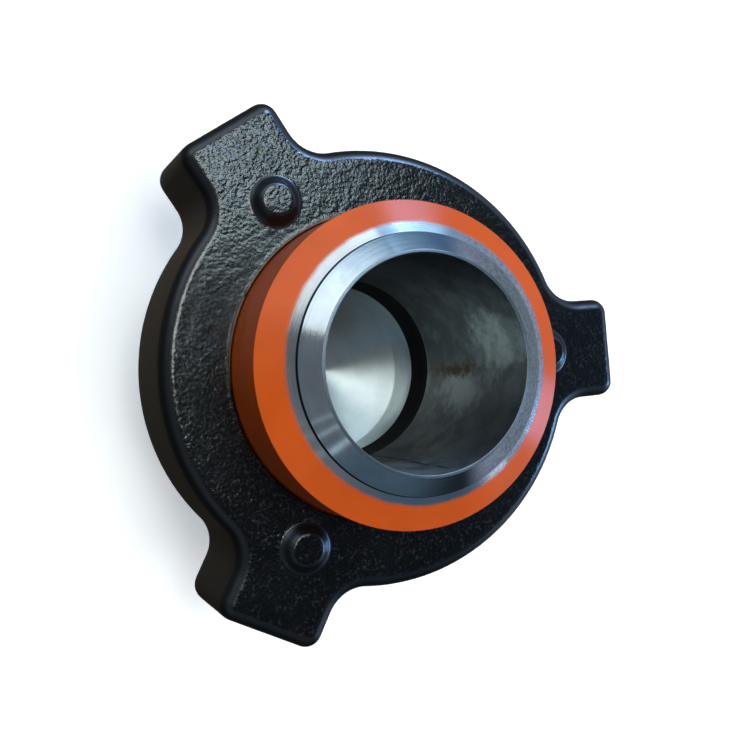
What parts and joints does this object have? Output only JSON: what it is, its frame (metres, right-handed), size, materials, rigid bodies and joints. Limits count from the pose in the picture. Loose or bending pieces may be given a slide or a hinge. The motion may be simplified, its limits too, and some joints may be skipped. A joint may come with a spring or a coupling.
{
  "type": "hammer union",
  "caption": "Hammer union, made up: a butt-weld male sub held to a blank female sub by a lugged wing nut on a coarse thread, with a lip seal ring between the subs.",
  "frame": {"origin": "centre of the blank female sub's flat back, on the pipe axis", "axes": "+Z along the pipe axis, out of the male sub's weld end; +X along one lug of the wing nut"},
  "size_m": [0.1875, 0.1978, 0.1402],
  "materials": {
    "turned_steel": "turned steel with concentric tool marks, oiled",
    "seal_rubber": "matt black moulded nitrile rubber",
    "orange_paint": "satin orange paint over turned steel, bare bright steel at the weld bevel and dull steel in the bore",
    "black_paint": "glossy black paint over a rough cast face, smoother on the rounded edges and sides"
  },
  "bodies": {
    "blank_end": {"blank_female_sub": "turned_steel", "seal_ring": "seal_rubber"},
    "male_end": {"male_sub": "orange_paint"},
    "nut": {"wing_nut": "black_paint"}
  },
  "joints": [
    {"name": "sub_lift", "type": "slide", "parent": "blank_end", "child": "male_end", "axis": [0, 0, 1], "range_m": [0, 0.0218]},
    {"name": "nut_spin", "type": "hinge", "parent": "male_end", "child": "nut", "pos_m": [0, 0, 0.0753], "axis": [0, 0, 1], "range_deg": [0, 1080]}
  ],
  "couplings": [
    {"joint": "sub_lift", "follows": "nut_spin", "m_per_rad": 0.001155}
  ]
}
